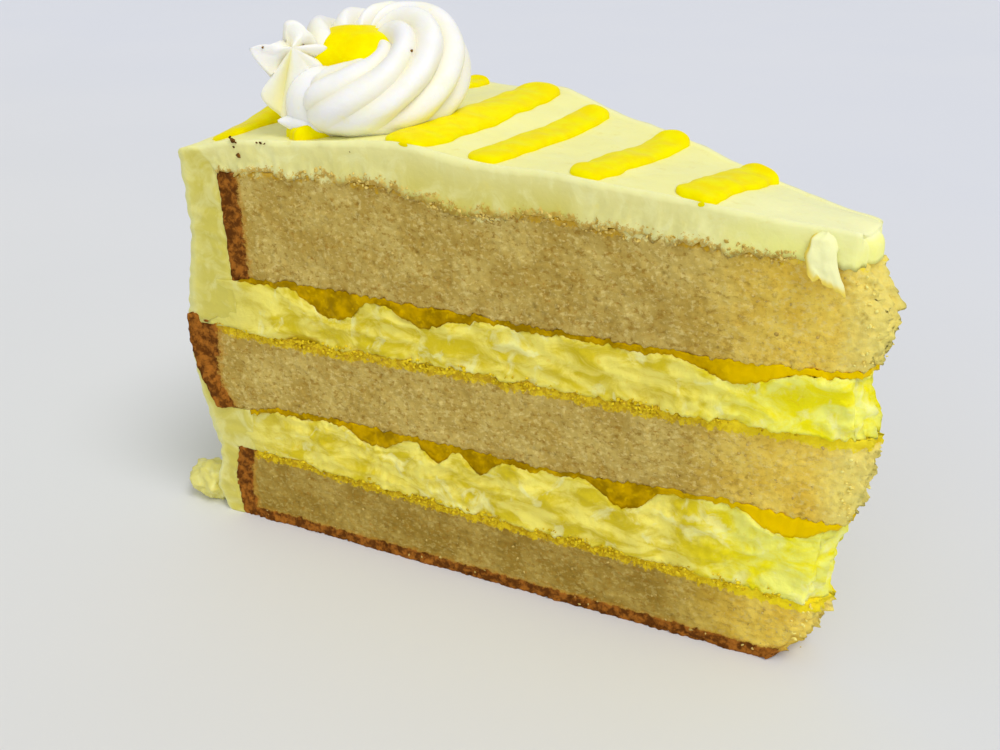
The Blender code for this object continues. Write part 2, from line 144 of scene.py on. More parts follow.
# Burnt crumbs on the icing by the outer wall: distance and height on the near cut, then size
BURNT_CRUMBS = (
    (115.5, 77.3, 0.5), (115.1, 76.8, 1.1), (114.6, 76.5, 0.5), (115.1, 75.7, 0.4), (114.1, 74.4, 1.2),
    (113.6, 74.1, 0.5), (110.2, 76.9, 0.4), (109.4, 76.9, 0.5), (108.6, 76.9, 0.4), (92, 77.3, 0.4),
)

# Specks that landed on the rosette, in millimetres: place, then size
ROSETTE_SPECKS = ((-13.8, -12.3, 91.3, 0.5), (-30.1, -20.6, 91.9, 0.4), (-33.7, -25.9, 91.9, 0.4))

# Floor colours and room light, then the photo's view: turn, downward tilt and roll in radians,
# place and lens in millimetres
FLOOR_FRONT = (0.755, 0.765, 0.765, 1)
FLOOR_BACK = (0.745, 0.77, 0.84, 1)
ROOM_TINT = (0.97, 0.98, 1.0, 1)
ROOM_LIGHT = 0.53
YAW, PITCH, ROLL = -0.7226663975902371, 0.46928153836874203, -0.024808840634001753
CAMERA_PLACE = (113.389, -137.352, 123.889)
CAMERA_LENS = 39.6


def follow(outline, place):
    """The smooth line through an outline's points, read at many places at once."""
    xs, ys = np.array(outline, float).T
    slopes = np.empty(len(xs))
    slopes[1:-1] = (ys[2:] - ys[:-2]) / (xs[2:] - xs[:-2])
    slopes[0] = (ys[1] - ys[0]) / (xs[1] - xs[0])
    slopes[-1] = (ys[-1] - ys[-2]) / (xs[-1] - xs[-2])
    x = np.clip(np.asarray(place, float) / MM, xs[0], xs[-1])
    left = np.clip(np.searchsorted(xs, x, side="right") - 1, 0, len(xs) - 2)
    span = xs[left + 1] - xs[left]
    t = (x - xs[left]) / span
    curve = ys[left] * (1 + 2 * t) * (1 - t) ** 2 + ys[left + 1] * t * t * (3 - 2 * t)
    curve += span * (slopes[left] * t * (1 - t) ** 2 + slopes[left + 1] * t * t * (t - 1))
    return curve * MM


def rise(value, start, end):
    """0 before start, 1 after end, and a smooth step between."""
    t = np.clip((value - start) / (end - start), 0, 1)
    return t * t * (3 - 2 * t)


def towards_tip(distance, start, full):
    """0 beyond start and 1 within full, both in millimetres from the cake's middle."""
    return rise(-distance, -start * MM, -full * MM)


def turn_by(x, y, angle):
    return x * math.cos(angle) - y * math.sin(angle), x * math.sin(angle) + y * math.cos(angle)


def grain(*place, size=1, seed=0):
    """Soft random lumps of a size in millimetres, from about -1 to 1, at arrays of places."""
    x, y, z = np.broadcast_arrays(*(np.asarray(p, float) / (size * MM) for p in place))
    lumps = [noise.noise((a + 31.7 * seed, b, c)) for a, b, c in zip(x.ravel(), y.ravel(), z.ravel())]
    return np.array(lumps).reshape(x.shape)


def holes(*place, size=1, seed=0):
    """How deep each place lies in one of many scattered round holes, from 0 to 1."""
    x, y, z = np.broadcast_arrays(*(np.asarray(p, float) / (size * MM) for p in place))
    flat = zip(x.ravel(), y.ravel(), z.ravel())
    near = [noise.voronoi((a + 17.3 * seed, b, c))[0][0] for a, b, c in flat]
    return rise(-np.array(near).reshape(x.shape), -0.34, -0.08)


def spot(distance, side, height, proud=0):
    """Points of the slice: side runs from -1 at the near cut to 1 at the far cut."""
    angle = side * HALF_ANGLE
    x = APEX_X - distance * np.cos(angle) + np.sin(angle) * side * proud
    y = distance * np.sin(angle) + np.cos(angle) * side * proud
    return np.stack(np.broadcast_arrays(x, y, height), axis=-1)


def on_cut(side):
    return np.abs(side) > 0.999


def polar(x, y):
    """The distance and side of points seen from above."""
    return np.hypot(APEX_X - x, y), np.arctan2(y, APEX_X - x) / HALF_ANGLE


def level(outline, distance, side):
    """The height of a layer's face, which sways a little away from the near cut."""
    return follow(outline, distance) + LAYER_SWAY * (1 + side) / 2 * np.sin(distance / (13 * MM) + 2 * side)


def ragged(outline, distance, side):
    """A layer's face with the small unevenness that a torn crumb gives it."""
    rough = 0.5 * grain(distance, side * 40 * MM, 0, size=2.4, seed=outline[0][1])
    rough += 0.6 * grain(distance, side * 40 * MM, 0, size=0.85, seed=outline[0][1])
    return level(outline, distance, side) + rough * MM


def tip_distance(side, height):
    """How far the torn tip stands from the cake's middle at each height."""
    setback = NEAR_TIP_SETBACK * (1 - side) / 2
    coarse = TIP_RAGGEDNESS * grain(side * 2 * MM, height / 3.5, 0)
    return follow(TIP_EDGE, height) + setback + coarse


def cream_top(ceiling, rings, distance, side):
    """The top of a cream layer: just under its thin curd, and lower where a ring presses in."""
    thin = CURD_THICKNESS * (1 + 0.9 * grain(distance, side * 20 * MM, 0, size=5, seed=3))
    height = ragged(ceiling, distance, side) - thin
    for number, (place, half_width, depth) in enumerate(rings):
        drift = RING_DRIFT * (1 + side) / 2 * math.cos(2 * number)
        away = (distance - place * MM - drift) / (half_width * MM)
        height = height - depth * MM * np.clip(1 - away * away, 0, None) ** 2
    return height + 0.25 * MM * grain(distance, side * 20 * MM, 0, size=1.3, seed=9)


def middle_crust(height, side):
    """The outer end of the middle layer, which reaches furthest at the near cut."""
    near = follow(MIDDLE_CRUST_NEAR, height)
    far = follow(MIDDLE_CRUST_FAR, height)
    return far + (near - far) * ((1 - side) / 2) ** 2


def bare_crust(height, side):
    """The middle layer's crust, which comes through the icing at the near cut."""
    covered = middle_crust(height, side)
    bare = follow(MIDDLE_CRUST_BARE, height) + 0.4 * MM * grain(height, side * 30 * MM, 0, size=1.5)
    return covered + np.clip(bare - covered, 0, None) * rise(-side, 0.86, 0.97)


def foot(distance, side):
    """The bottom layer's underside, which curls up a little at the tip."""
    return np.maximum(follow(BOTTOM_SPONGE_FOOT, distance), 0) + 0 * side


def bottom_crust(height, side):
    return follow(BOTTOM_CRUST, height) + 0 * side


def spread(across, cells):
    """Cross positions from -1 to 1 that crowd towards both cuts."""
    even = 2 * across / cells - 1
    return 0.4 * even + 0.6 * (1.5 * even - 0.5 * even ** 3)


def finish_piece(name, data, material, node, marks=None):
    """Make a mesh into a piece that stands for a part of the model."""
    for mark, values in (marks or {}).items():
        data.attributes.new(mark, "FLOAT", "POINT").data.foreach_set("value", np.asarray(values, np.float32))
    data.shade_smooth()
    data.materials.append(material)
    piece = bpy.data.objects.new(name, data)
    bpy.context.scene.collection.objects.link(piece)
    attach(piece, "root")
    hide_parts(node)
    return piece


def to_data(name, mesh):
    bmesh.ops.recalc_face_normals(mesh, faces=mesh.faces)
    data = bpy.data.meshes.new(name)
    mesh.to_mesh(data)
    mesh.free()
    return data


def corners_of(data):
    corners = np.empty(len(data.vertices) * 3, np.float32)
    data.vertices.foreach_get("co", corners)
    return corners.reshape(-1, 3).astype(float)


def set_corners(data, points):
    """Move every corner, then turn the mesh the right way out."""
    data.vertices.foreach_set("co", np.asarray(points, np.float32).ravel())
    data.update()
    mesh = bmesh.new()
    mesh.from_mesh(data)
    bmesh.ops.recalc_face_normals(mesh, faces=mesh.faces)
    mesh.to_mesh(data)
    mesh.free()


def shape_piece(name, mesh, place, material, node, slot):
    """A piece whose corners place() moves, with the marks that it gives them."""
    data = to_data(name, mesh)
    points, marks = place(corners_of(data))
    set_corners(data, points)
    return finish_piece(name, data, material, node, marks)


def block(name, cells, place, *rest):
    """A cube cut into cells, whose corners place() sets from their three counts."""
    mesh = bmesh.new()
    bmesh.ops.create_cube(mesh, size=1)
    for axis in range(3):
        long_edges = [e for e in mesh.edges if abs(e.verts[0].co[axis] - e.verts[1].co[axis]) > 0.99]
        if cells[axis] > 1:
            bmesh.ops.subdivide_edges(mesh, edges=long_edges, cuts=cells[axis] - 1, use_grid_fill=True)

    def count(corners):
        return place(*np.round((corners + 0.5) * np.array(cells)).T)

    return shape_piece(name, mesh, count, *rest)


def rope(name, rings, sides, place, *rest):
    """A closed tube whose corners place() sets by ring and by turn about the tube."""
    mesh = bmesh.new()
    bmesh.ops.create_cone(mesh, cap_ends=True, segments=sides, radius1=1, radius2=1, depth=1)
    upright = [e for e in mesh.edges if abs(e.verts[0].co.z - e.verts[1].co.z) > 0.99]
    bmesh.ops.subdivide_edges(mesh, edges=upright, cuts=rings - 1, use_grid_fill=True)

    def wind(corners):
        return place(np.round((corners[:, 2] + 0.5) * rings), np.arctan2(corners[:, 1], corners[:, 0]))

    return shape_piece(name, mesh, wind, *rest)


def ball(name, rings, place, *rest):
    """A ball whose corners place() moves."""
    mesh = bmesh.new()
    bmesh.ops.create_uvsphere(mesh, u_segments=rings * 2, v_segments=rings, radius=1)
    return shape_piece(name, mesh, place, *rest)


class Finish:
    """A procedural material under construction, and the nodes that it is made of."""

    def __init__(self, name, roughness, scatter, scatter_scale, shine, coat=0.0, shine_tint=(1, 1, 1, 1)):
        self.material = bpy.data.materials.new(name)
        self.material.use_nodes = True
        self.tree = self.material.node_tree
        self.shader = self.tree.nodes["Principled BSDF"]
        self.give(self.shader, {
            "Roughness": roughness, "Subsurface Weight": scatter, "Subsurface Radius": (1.0, 0.85, 0.5),
            "Subsurface Scale": scatter_scale * MM, "Coat Weight": coat, "Coat Roughness": 0.12,
            "Specular IOR Level": shine, "Specular Tint": shine_tint,
        })
        self.place = self.tree.nodes.new("ShaderNodeTexCoord").outputs["Object"]

    def give(self, node, values):
        """Set a node's sockets, or link those whose value is another socket."""
        for socket, value in values.items():
            if isinstance(value, bpy.types.NodeSocket):
                self.tree.links.new(value, node.inputs[socket])
            else:
                node.inputs[socket].default_value = value
        return node

    def add(self, kind, values):
        return self.give(self.tree.nodes.new("ShaderNode" + kind), values)

    def stretched(self, x, y, z):
        return self.add("Mapping", {"Scale": (x, y, z), "Vector": self.place}).outputs["Vector"]

    def lumps(self, size, detail, rough, twist=0.0, place=None):
        """Soft random variation of one size in millimetres."""
        return self.add("TexNoise", {
            "Scale": 1 / (size * MM), "Detail": detail, "Roughness": rough, "Distortion": twist,
            "Vector": place or self.place,
        }).outputs["Fac"]

    def mark(self, name):
        node = self.add("Attribute", {})
        node.attribute_name = name
        return node.outputs["Fac"]

    def step(self, value, start, end, low=0.0, high=1.0):
        """Low before start, high after end, and a smooth step between."""
        node = self.add("MapRange", {})
        node.interpolation_type = "SMOOTHSTEP"
        self.give(node, {"Value": value, "From Min": start, "From Max": end, "To Min": low, "To Max": high})
        return node.outputs["Result"]

    def reckon(self, operation, a, b):
        node = self.add("Math", {})
        node.operation = operation
        return self.give(node, {0: a, 1: b}).outputs[0]

    def times(self, a, b):
        return self.reckon("MULTIPLY", a, b)

    def plus(self, a, b):
        return self.reckon("ADD", a, b)

    def blend(self, share, first, second):
        node = self.add("Mix", {})
        node.data_type = "RGBA"
        return self.give(node, {"Factor": share, "A": first, "B": second}).outputs["Result"]

    def tint(self, base, tone, lumps, start, end, most=1.0):
        """The base with another tone where the lumps are high."""
        return self.blend(self.step(lumps, start, end, 0.0, most), base, tone)

    def relief(self, height, depth, strength, under=None):
        node = self.add("Bump", {"Strength": strength, "Distance": depth * MM, "Height": height})
        if under:
            self.give(node, {"Normal": under})
        return node.outputs["Normal"]

    def done(self, colour, normal):
        self.give(self.shader, {"Base Color": colour, "Normal": normal})
        return self.material


def colour(red, green, blue, light=0.74):
    """The base colour that shows as this screen colour in a light of that level."""
    def linear(value):
        value /= 255
        return value / 12.92 if value <= 0.04045 else ((value + 0.055) / 1.055) ** 2.4
    return tuple(min(linear(value) / light, 0.96) for value in (red, green, blue)) + (1.0,)


def sponge_finish(name, shade, light, grains):
    """Fine open crumb, golden and pale at the tip, with a grainy brown crust and soaked edges."""
    f = Finish(name, roughness=0.9, scatter=0.12, scatter_scale=0.6, shine=0.1)
    tip = f.step(f.mark("tip"), 0.0, 1.0)
    calm = f.reckon("SUBTRACT", 1.0, f.times(tip, 0.6))
    patches = f.lumps(6, 4, 0.6)
    golden = f.tint(colour(205, 172, 60), colour(220, 193, 84), patches, 0.35, 0.65)
    base = f.blend(tip, f.tint(shade, light, patches, 0.35, 0.65), golden)
    flat = f.stretched(0.75, 0.75, 1.0)
    base = f.tint(base, grains, f.lumps(0.7, 3, 0.65, 0.0, flat), 0.5, 0.66, 0.5)
    dim = f.step(f.lumps(0.9, 3, 0.7, 0.0, flat), 0.48, 0.33, 0, 0.7)
    base = f.blend(f.times(dim, calm), base, colour(140, 106, 32))
    pores = f.step(f.lumps(0.5, 2, 0.6, 0.0, flat), 0.62, 0.74, 0, 0.55)
    base = f.blend(f.times(pores, calm), base, colour(150, 98, 22))
    base = f.tint(base, colour(230, 210, 122), f.mark("near_tip"), 0.2, 1.0, 0.6)
    wander = f.times(f.lumps(0.8, 4, 0.8, 0.5), 1.9)
    soak = f.step(f.plus(f.mark("soak"), wander), 1.42, 1.6)
    soaked = f.tint(colour(176, 142, 8), colour(210, 184, 22), f.lumps(1.0, 3, 0.7), 0.4, 0.6)
    base = f.blend(f.times(soak, 0.9), base, f.blend(tip, soaked, colour(226, 198, 14)))
    torn = f.step(f.plus(f.mark("top_edge"), wander), 1.5, 1.7)
    edge_tint = f.tint(colour(182, 144, 34), colour(226, 216, 150), patches, 0.5, 0.6)
    base = f.blend(f.times(torn, 0.75), base, edge_tint)
    brown = f.tint(colour(88, 48, 8), colour(152, 94, 30), f.lumps(1.5, 5, 0.65), 0.4, 0.62)
    edge = f.plus(f.mark("crust"), f.times(f.lumps(1.1, 5, 0.75), 1.3))
    base = f.tint(base, colour(170, 124, 40), edge, 0.82, 1.12, 0.6)
    base = f.tint(base, brown, edge, 1.12, 1.34)
    return f.done(base, f.relief(f.lumps(0.5, 4, 0.7), 0.26, 0.85))


def cream_finish():
    """Torn lemon cream: streaky, more saturated towards the tip and whiter in places."""
    f = Finish("torn_cream", roughness=0.5, scatter=0.25, scatter_scale=1.0, shine=0.15,
               shine_tint=(1, 0.95, 0.6, 1))
    streak = f.lumps(4.5, 5, 0.6, 0.8, f.stretched(0.7, 0.7, 1.3))
    pale = f.tint(colour(192, 174, 28), colour(218, 206, 98), streak, 0.38, 0.62)
    bright = f.tint(colour(254, 208, 8), colour(255, 226, 106), streak, 0.38, 0.62)
    base = f.tint(pale, bright, f.mark("tip"), 0, 1)
    base = f.tint(base, colour(236, 228, 162), f.lumps(5, 5, 0.6, 0.8), 0.55, 0.66, 0.5)
    base = f.tint(base, colour(204, 172, 14), f.lumps(1.6, 4, 0.65, 0.8), 0.62, 0.72, 0.4)
    base = f.blend(f.times(f.mark("wall"), 0.85), base, colour(196, 188, 98))
    smooth = f.relief(f.lumps(2.2, 4, 0.6, 0.6), 0.35, 0.7)
    return f.done(base, f.relief(f.lumps(0.6, 4, 0.7), 0.16, 0.8, smooth))


def curd_finish(name, dark, light, at_tip):
    """Wet lemon curd, deeper where it is thick and more golden at the tip."""
    f = Finish(name, roughness=0.34, scatter=0.15, scatter_scale=1.2, shine=0.08,
               shine_tint=(1, 0.86, 0.1, 1))
    f.give(f.shader, {"IOR": 1.3})
    base = f.tint(dark, light, f.lumps(3, 3, 0.6), 0.35, 0.65)
    base = f.tint(base, at_tip, f.mark("tip"), 0, 0.9)
    base = f.tint(base, at_tip, f.lumps(1.2, 2, 0.5), 0.58, 0.72, 0.4)
    return f.done(base, f.relief(f.lumps(1.5, 3, 0.5), 0.15, 0.5))


def icing_finish():
    """Smooth cream icing, greener in the shade of the cut and paler towards the tip."""
    f = Finish("cream_icing", roughness=0.42, scatter=0.2, scatter_scale=1.0, shine=0.25, coat=0.04,
               shine_tint=(1, 0.98, 0.8, 1))
    tip = f.step(f.mark("tip"), 0, 1)
    cut = f.blend(tip, colour(188, 178, 78), colour(240, 222, 124))
    top = f.blend(tip, colour(244, 236, 158, 0.9), colour(254, 246, 180, 0.9))
    base = f.blend(f.mark("cut"), top, cut)
    base = f.tint(base, colour(236, 232, 170, 0.8), f.lumps(5, 4, 0.6, 1.0), 0.44, 0.68, 0.35)
    base = f.blend(f.mark("lip"), base, colour(248, 244, 180, 0.85))
    base = f.blend(f.times(f.mark("torn"), 0.7), base, colour(232, 226, 164))
    base = f.blend(f.mark("stained"), base, colour(206, 178, 30))
    smeared = f.plus(f.mark("crumbed"), f.times(f.lumps(0.7, 4, 0.75, 0.4), 2.2))
    crumb = f.tint(colour(176, 138, 44), colour(208, 178, 84), f.lumps(1.6, 3, 0.6), 0.4, 0.6)
    base = f.tint(base, crumb, smeared, 1.75, 1.95, 0.85)
    base = f.tint(base, colour(206, 196, 104), f.lumps(2.4, 3, 0.6), 0.58, 0.74, 0.35)
    f.give(f.shader, {"Roughness": f.step(f.lumps(1.4, 3, 0.6), 0.3, 0.7, 0.36, 0.6)})
    smooth = f.relief(f.lumps(4, 3, 0.5, 0.5), 0.35, 0.6)
    return f.done(base, f.relief(f.lumps(0.7, 3, 0.6), 0.1, 0.6, smooth))


def white_cream_finish():
    """Piped white cream with warm and yellow tints in places, and painted shade, darker and warm, in the
    grooves of its folds.
    """
    f = Finish("piped_cream", roughness=0.4, scatter=0.35, scatter_scale=1.4, shine=0.3, coat=0.04)
    warm = f.lumps(5, 3, 0.5, 0.6)
    base = f.tint(colour(247, 245, 242, 0.88), colour(240, 237, 224, 0.88), warm, 0.4, 0.7)
    # Painted shade: where the mark fold is high, in the grooves between the ridges, the cream turns darker
    # and warmer.
    base = f.blend(f.times(f.mark("fold"), 0.5), base, colour(232, 224, 184, 0.88))
    base = f.tint(base, colour(240, 228, 130, 0.88), f.lumps(2.2, 2, 0.5), 0.66, 0.8, 0.25)
    base = f.blend(f.times(f.mark("stain"), 0.75), base, colour(226, 216, 120, 0.8))
    return f.done(base, f.relief(f.lumps(0.9, 4, 0.6), 0.14, 0.6))


def crumb_finish(name, dark, light):
    """Matt loose crumb, mottled from dark to light."""
    f = Finish(name, roughness=0.85, scatter=0.0, scatter_scale=0.5, shine=0.12)
    base = f.tint(dark, light, f.lumps(0.8, 3, 0.6), 0.35, 0.65)
    return f.done(base, f.relief(f.lumps(0.3, 3, 0.6), 0.12, 0.8))


def floor_finish():
    """A plain pale sheet, a little warmer in front and bluer behind."""
    f = Finish("pale_sheet", roughness=0.7, scatter=0.0, scatter_scale=1, shine=0.3)
    apart = f.add("SeparateXYZ", {"Vector": f.place})
    base = f.tint(FLOOR_FRONT, FLOOR_BACK, apart.outputs["Y"], -0.12, 0.3)
    base = f.tint(base, (0.86, 0.86, 0.86, 1), f.lumps(120, 3, 0.5), 0.3, 0.7, 0.12)
    return f.done(base, f.relief(f.lumps(0.6, 2, 0.5), 0.02, 0.3))


sponge = sponge_finish("sponge_crumb", colour(164, 138, 64), colour(182, 160, 86),
                       colour(210, 194, 126))
# Painted shade: the bottom layer's crumb is a darker copy of the sponge, for the shade that the low layer
# lies in.
shaded_low_sponge = sponge_finish("low_sponge_crumb", colour(138, 112, 42), colour(162, 138, 66),
                           colour(186, 168, 100))
cream = cream_finish()
filling_curd = curd_finish("filling_curd", colour(136, 106, 0), colour(180, 144, 0), colour(212, 178, 0))
bright_curd = curd_finish("bright_curd", colour(238, 218, 0, 0.9), colour(244, 228, 0, 0.9),
                          colour(246, 232, 0, 0.9))
icing_cream = icing_finish()
white_cream = white_cream_finish()


def sponge_relief(distance, offset, height, row):
    """A sponge's distances, jagged at the tip, and how proud its cuts stand, in millimetres."""
    fine = grain(distance, offset, height, size=0.8, seed=1)
    small = holes(distance, offset, height, size=1.3, seed=5)
    pit = small * (grain(distance, offset, height, size=4, seed=4) > 0.05)
    proud = 0.2 * (0.4 + grain(distance, offset, height, size=5)) + 0.36 * fine - 0.4 * pit
    proud += 0.22 * grain(distance, offset, height, size=1.9, seed=7)
    jag = np.clip(grain(offset, height, 0, size=1.3, seed=8), -0.2, None)
    jag += 0.9 * np.clip(grain(offset, height, 0, size=0.75, seed=9), 0, None)
    jag += 0.6 * grain(offset, height, 0, size=2.6, seed=10)
    jag = (0.2 - 1.15 * np.clip(jag, -0.5, 1.1)) * MM
    return distance + jag * rise(-row, -JAGGED_ROWS, 0), proud


def cream_relief(distance, side, height, row, last_row):
    """A cream's distances and proud, with a broken tip and an outer end that runs under the icing."""
    offset = side * CUTS_APART
    chunk = grain(distance * 0.7, offset, height, size=4.5, seed=1)
    fold = np.abs(grain(distance * 0.6, offset, height * 1.4, size=4, seed=2))
    crisp = rise(grain(distance, offset, height, size=8, seed=3), -0.3, 0.3)
    proud = 0.5 * (0.4 + grain(distance, offset, height, size=7)) + 0.9 * chunk - 1.1 * fold + 0.35
    proud += (0.14 + 0.4 * crisp) * grain(distance, offset, height, size=1.1, seed=5)
    broken = 1.1 * chunk + 0.9 * grain(side * 6 * MM, height, 0, size=1.8, seed=13)
    broken = (0.3 - broken + 1.3 * np.abs(side) ** 3) * MM
    distance = distance + broken * rise(-row, -JAGGED_ROWS, 0)
    reach = (6.5 + 4 * grain(height, offset, 0, size=2.5, seed=6)) * MM
    reach += 1.6 * MM * grain(height, offset, 0, size=0.9, seed=7)
    outer_share = rise(row, last_row - CREAM_END_ROWS, last_row)
    distance = distance + reach * outer_share * on_cut(side)
    return distance, proud * (1 - outer_share) + outer_share * (0.6 * chunk - 0.2)


def sponge_marks(distance, side, height, end, floor, ceiling, crust, soak):
    """Where a sponge is browned, soaked by the cream on it, or scraped at its upper edge."""
    dark = 4.2 * MM if crust is None else 4 * MM + 2.6 * MM * rise(height, 30 * MM, 38 * MM)
    brown = rise(distance, end - 1.5 * dark, end - 0.5 * dark)
    if floor is foot:
        under = height - foot(distance, side)
        browned_foot = rise(-under, -3.4 * MM, -1.4 * MM) * rise(distance, 15 * MM, 19 * MM)
        brown = np.maximum(brown, browned_foot)
    top = ceiling(distance, side)
    scraped = rise(height, top - 2.5 * MM, top) * (crust is None) * (1 - towards_tip(distance, 26, 18))
    return {"crust": brown, "soak": soak * rise(height, top - 3.2 * MM, top - 0.6 * MM), "top_edge": scraped}


def layer(name, floor, ceiling, cells, kind, material, node, crust=None, soak=0.0):
    """A sponge, cream or curd layer whose two cuts carry the torn relief of its kind."""
    run_cells, up_cells = cells
    crust_cells = CRUST_CELLS if crust else 0

    def place(row, across, up):
        side = spread(across, LAYER_SIDE_CELLS)
        share = up / up_cells
        guess = floor(LAYER_RADIUS, side) * (1 - share) + ceiling(LAYER_RADIUS, side) * share
        tip = tip_distance(side, guess)
        distance = tip + (LAYER_RADIUS - tip) * np.minimum(row, run_cells) / run_cells
        end = LAYER_RADIUS + 0 * distance
        if crust:
            end = crust(guess, side)
            distance = distance + (end - LAYER_RADIUS) * np.maximum(row - run_cells, 0) / crust_cells
        height = floor(distance, side) * (1 - share) + ceiling(distance, side) * share
        offset = side * CUTS_APART
        if kind == "sponge":
            distance, proud = sponge_relief(distance, offset, height, row)
        elif kind == "cream":
            distance, proud = cream_relief(distance, side, height, row, run_cells)
        else:
            proud = 0.15 + 0.3 * grain(distance, offset, height, size=3, seed=6)
            proud += 0.25 * grain(distance, offset, height, size=1, seed=8)
        marks = {"tip": towards_tip(distance, 45, 12), "near_tip": towards_tip(distance, 19, 8),
                 "wall": rise(distance, 110 * MM, 126 * MM)}
        if kind == "sponge":
            marks.update(sponge_marks(distance, side, height, end, floor, ceiling, crust, soak))
            if crust is bare_crust:
                covered = middle_crust(height, side)
                stands_out = rise(distance, covered - 1.2 * MM, covered + 0.3 * MM)
                proud = proud + 0.8 * stands_out * (side < 0)
        near_end = rise(-row, -NARROWED_ROWS, 0)
        pinch = 0.28 + 0.16 * grain(distance, offset, height, size=1.6, seed=12)
        narrowed = side * (1 - near_end * pinch)
        return spot(distance, narrowed, height, proud * MM * on_cut(side)), marks

    counts = (run_cells + crust_cells, LAYER_SIDE_CELLS, up_cells)
    return block(name, counts, place, material, node, LAYER_SLOTS[kind])


def face(outline):
    return lambda distance, side: ragged(outline, distance, side)


def pressed(ceiling, rings):
    return lambda distance, side: cream_top(ceiling, rings, distance, side)


layer("crumb_bottom", foot, face(BOTTOM_SPONGE_TOP), (310, 42), "sponge", shaded_low_sponge,
      "sponge_bottom", bottom_crust, 1.0)
layer("crumb_middle", face(MIDDLE_SPONGE_BOTTOM), face(MIDDLE_SPONGE_TOP), (310, 44), "sponge", sponge,
      "sponge_middle", bare_crust, 1.0)
layer("crumb_top", face(TOP_SPONGE_BOTTOM), face(TOP_SPONGE_TOP), (310, 50), "sponge", sponge,
      "sponge_top", None, 0.4)
layer("filling_lower", face(BOTTOM_SPONGE_TOP), pressed(MIDDLE_SPONGE_BOTTOM, LOWER_RINGS), (280, 26),
      "cream", cream, "cream_lower")
layer("filling_upper", face(MIDDLE_SPONGE_TOP), pressed(TOP_SPONGE_BOTTOM, UPPER_RINGS), (280, 24),
      "cream", cream, "cream_upper")
layer("curd_line_lower", pressed(MIDDLE_SPONGE_BOTTOM, LOWER_RINGS), face(MIDDLE_SPONGE_BOTTOM), (280, 6),
      "curd", filling_curd, "curd_lower")
layer("curd_line_upper", pressed(TOP_SPONGE_BOTTOM, UPPER_RINGS), face(TOP_SPONGE_BOTTOM), (280, 6),
      "curd", filling_curd, "curd_upper")


def shoulder_rows(top, bottom, crust, side):
    """Inner corners of the icing round a sponge layer that reaches out under it."""
    heights = [bottom(LAYER_RADIUS, side) + share * (top(LAYER_RADIUS, side) - bottom(LAYER_RADIUS, side))
               for share in (1, 2 / 3, 1 / 3, 0)]
    reach = [crust(height, side) for height in heights]
    rows = [(LAYER_RADIUS + 0 * side, top(LAYER_RADIUS, side), LEDGE_SPREAD)]
    rows.append((reach[0], top(reach[0], side), -LEDGE_SPREAD))
    for number in (1, 2):
        share = 1 - number / 3
        height = bottom(reach[number], side) * (1 - share) + top(reach[number], side) * share
        rows.append((reach[number], height, 0))
    return rows, reach[3]


def icing_rows(side):
    """Inner and outer corners of the icing sheet in the slice's upright plane, row by row."""
    inner = []
    outer = []
    uneven = 0.5 * MM * grain(side * 0.8 * MM, 0, 0, seed=14)
    tip = follow(TIP_EDGE, ICING_TIP_HEIGHT) - ICING_TIP_FORWARD + uneven
    for row in range(TOP_ROWS + 1):
        distance = tip + (LAYER_RADIUS - tip) * row / TOP_ROWS
        inner.append((distance, level(TOP_SPONGE_TOP, distance, side)))
        distance = distance + ICING_OVERHANG * (row / TOP_ROWS) ** 6
        outer.append((distance, level(ICING_TOP, distance, side)))
    for (distance, height), drop in zip(CORNER_OUTER, (0.2, 2, 10)):
        outer.append((distance * MM + 0 * side, height * MM + 0 * side))
        inner.append((LAYER_RADIUS + 0 * side, level(TOP_SPONGE_TOP, LAYER_RADIUS, side) - drop * MM))

    def at(outline):
        return lambda distance, side: level(outline, distance, side)

    middle, low_end = shoulder_rows(at(MIDDLE_SPONGE_TOP), at(MIDDLE_SPONGE_BOTTOM), middle_crust, side)
    middle.append((low_end, level(MIDDLE_SPONGE_BOTTOM, low_end, side), LEDGE_SPREAD))
    middle.append((LAYER_RADIUS + 0 * side, level(MIDDLE_SPONGE_BOTTOM, LAYER_RADIUS, side), -LEDGE_SPREAD))
    bottom, low_end = shoulder_rows(at(BOTTOM_SPONGE_TOP), foot, bottom_crust, side)
    bottom.append((low_end, 0 * side, 0))
    for distance, height, lift in middle + bottom:
        inner.append((distance, height))
        high = height + lift
        uneven = 0.5 * MM * grain(side * 3 * MM, high / 9, 4 * MM)
        outer.append((follow(ICING_WALL, high) + uneven, high))
    return np.array(inner), np.array(outer)


def through(rows, where):
    """Smooth curves through control rows, read at fractional rows."""
    left = np.clip(np.floor(where).astype(int), 0, len(rows) - 2)
    t = (where - left).reshape(-1, *([1] * (rows.ndim - 1)))
    before, a, b = rows[np.maximum(left - 1, 0)], rows[left], rows[left + 1]
    after = rows[np.minimum(left + 2, len(rows) - 1)]
    return (a * (1 + 2 * t) * (1 - t) ** 2 + b * t * t * (3 - 2 * t)
            + (b - before) / 2 * t * (1 - t) ** 2 + (after - a) / 2 * t * t * (t - 1))


def straight(rows, where):
    """Straight lines through control rows, read at fractional rows."""
    left = np.clip(np.floor(where).astype(int), 0, len(rows) - 2)
    t = (where - left).reshape(-1, *([1] * (rows.ndim - 1)))
    return rows[left] * (1 - t) + rows[left + 1] * t


def spatula(x, y):
    """The gentle waves that a palette knife leaves in the icing."""
    broad = grain(x, y, 0, size=9, seed=11)
    small = grain(x * 0.5, y, 0, size=3, seed=12)
    return (0.32 * broad + 0.12 * small) * MM


def icing_height(x, y):
    """The height of the icing's top at places seen from above."""
    distance, side = polar(x, y)
    return level(ICING_TOP, distance, side) + spatula(x, y)


